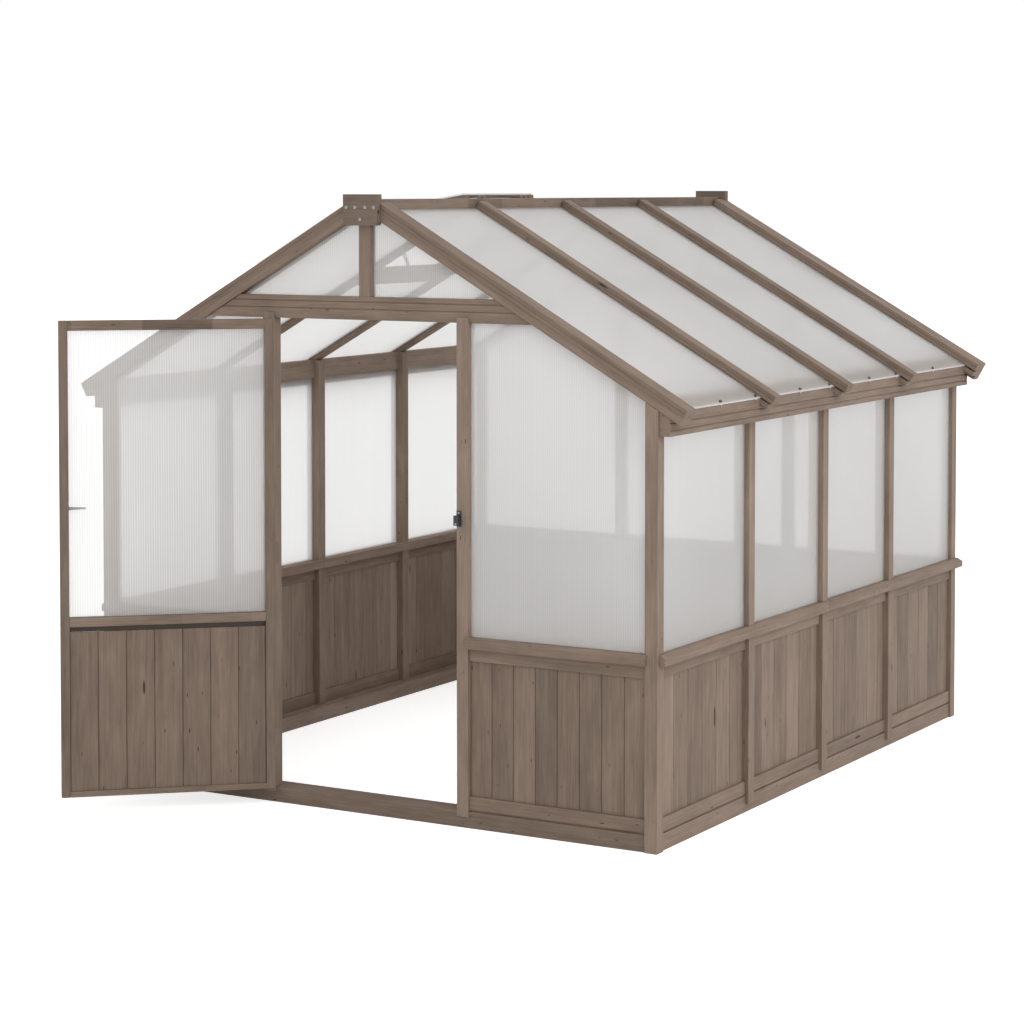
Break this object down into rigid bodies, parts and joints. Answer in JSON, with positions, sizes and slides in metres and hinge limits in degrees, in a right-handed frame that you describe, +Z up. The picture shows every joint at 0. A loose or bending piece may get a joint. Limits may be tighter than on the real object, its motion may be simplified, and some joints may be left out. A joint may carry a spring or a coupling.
{
  "type": "greenhouse",
  "caption": "Gabled wooden greenhouse with boarded lower walls, twin-wall glazing, a hinged half-glazed door with a turning latch, and an opening roof vent.",
  "frame": {"origin": "the middle of the underside of the front base rail, in the centre plane of the front corner posts", "axes": "+X to the right seen from the door end, +Y toward the back, +Z up"},
  "size_m": [2.664, 3.5341, 2.3142],
  "materials": {
    "timber": "matt",
    "polycarbonate": "translucent",
    "steel": "zinc plated",
    "black_metal": "satin"
  },
  "bodies": {
    "house": {"base_rail_front": "timber", "base_rail_rear": "timber", "base_rail_left": "timber", "base_rail_right": "timber", "corner_posts": "timber", "door_jambs": "timber", "rear_studs": "timber", "lower_studs": "timber", "upper_studs": "timber", "bottom_rails": "timber", "apron_rails": "timber", "boards_front": "timber", "boards_left": "timber", "boards_right": "timber", "boards_rear": "timber", "sills_front": "timber", "sills_left": "timber", "sills_right": "timber", "sill_rear": "timber", "wall_glazing_front": "polycarbonate", "wall_glazing_left": "polycarbonate", "wall_glazing_right": "polycarbonate", "wall_glazing_rear": "polycarbonate", "header_beams": "timber", "king_posts": "timber", "gable_glazing": "polycarbonate", "wall_plates": "timber", "eave_beam_left": "timber", "eave_beam_right": "timber", "ridge_board": "timber", "barge_rafters": "timber", "rafters_left": "timber", "rafters_right": "timber", "barge_caps": "timber", "rafter_caps_left": "timber", "rafter_caps_right": "timber", "roof_glazing_left": "polycarbonate", "roof_glazing_right": "polycarbonate", "sheet_clips": "steel", "apex_plates": "timber", "apex_bolts": "steel", "vent_curb": "timber", "vent_hinges_roof": "steel", "stay_peg": "steel", "door_hinges_jamb": "steel", "latch_keeper": "black_metal", "keeper_screws": "steel"},
    "door": {"door_stiles": "timber", "door_rails": "timber", "door_boards": "timber", "door_glazing": "polycarbonate", "door_hinges_leaf": "steel", "latch_plate": "black_metal"},
    "latch": {"latch_lever": "black_metal"},
    "vent": {"vent_frame": "timber", "vent_glazing": "polycarbonate", "vent_hinges_leaf": "steel", "stay_bracket": "steel"},
    "stay": {"vent_stay": "steel"}
  },
  "joints": [
    {"name": "door_swing", "type": "hinge", "parent": "house", "child": "door", "pos_m": [-0.4005, -0.0305, 0.95], "axis": [0, 0, 1], "range_deg": [-10, 137.8]},
    {"name": "latch_turn", "type": "hinge", "parent": "door", "child": "latch", "pos_m": [-0.97561, -0.5567, 1.138], "axis": [0.6717, -0.7408, 0], "range_deg": [0, 90]},
    {"name": "vent_tilt", "type": "hinge", "parent": "house", "child": "vent", "pos_m": [-0.049, 1.079, 2.29424], "axis": [0, 1, 0], "range_deg": [-20, 0]},
    {"name": "stay_turn", "type": "hinge", "parent": "vent", "child": "stay", "pos_m": [-0.56695, 1.079, 2.17816], "axis": [0, 1, 0], "range_deg": [0, 20]}
  ],
  "couplings": [
    {"joint": "stay_turn", "follows": "vent_tilt", "ratio": -1}
  ]
}
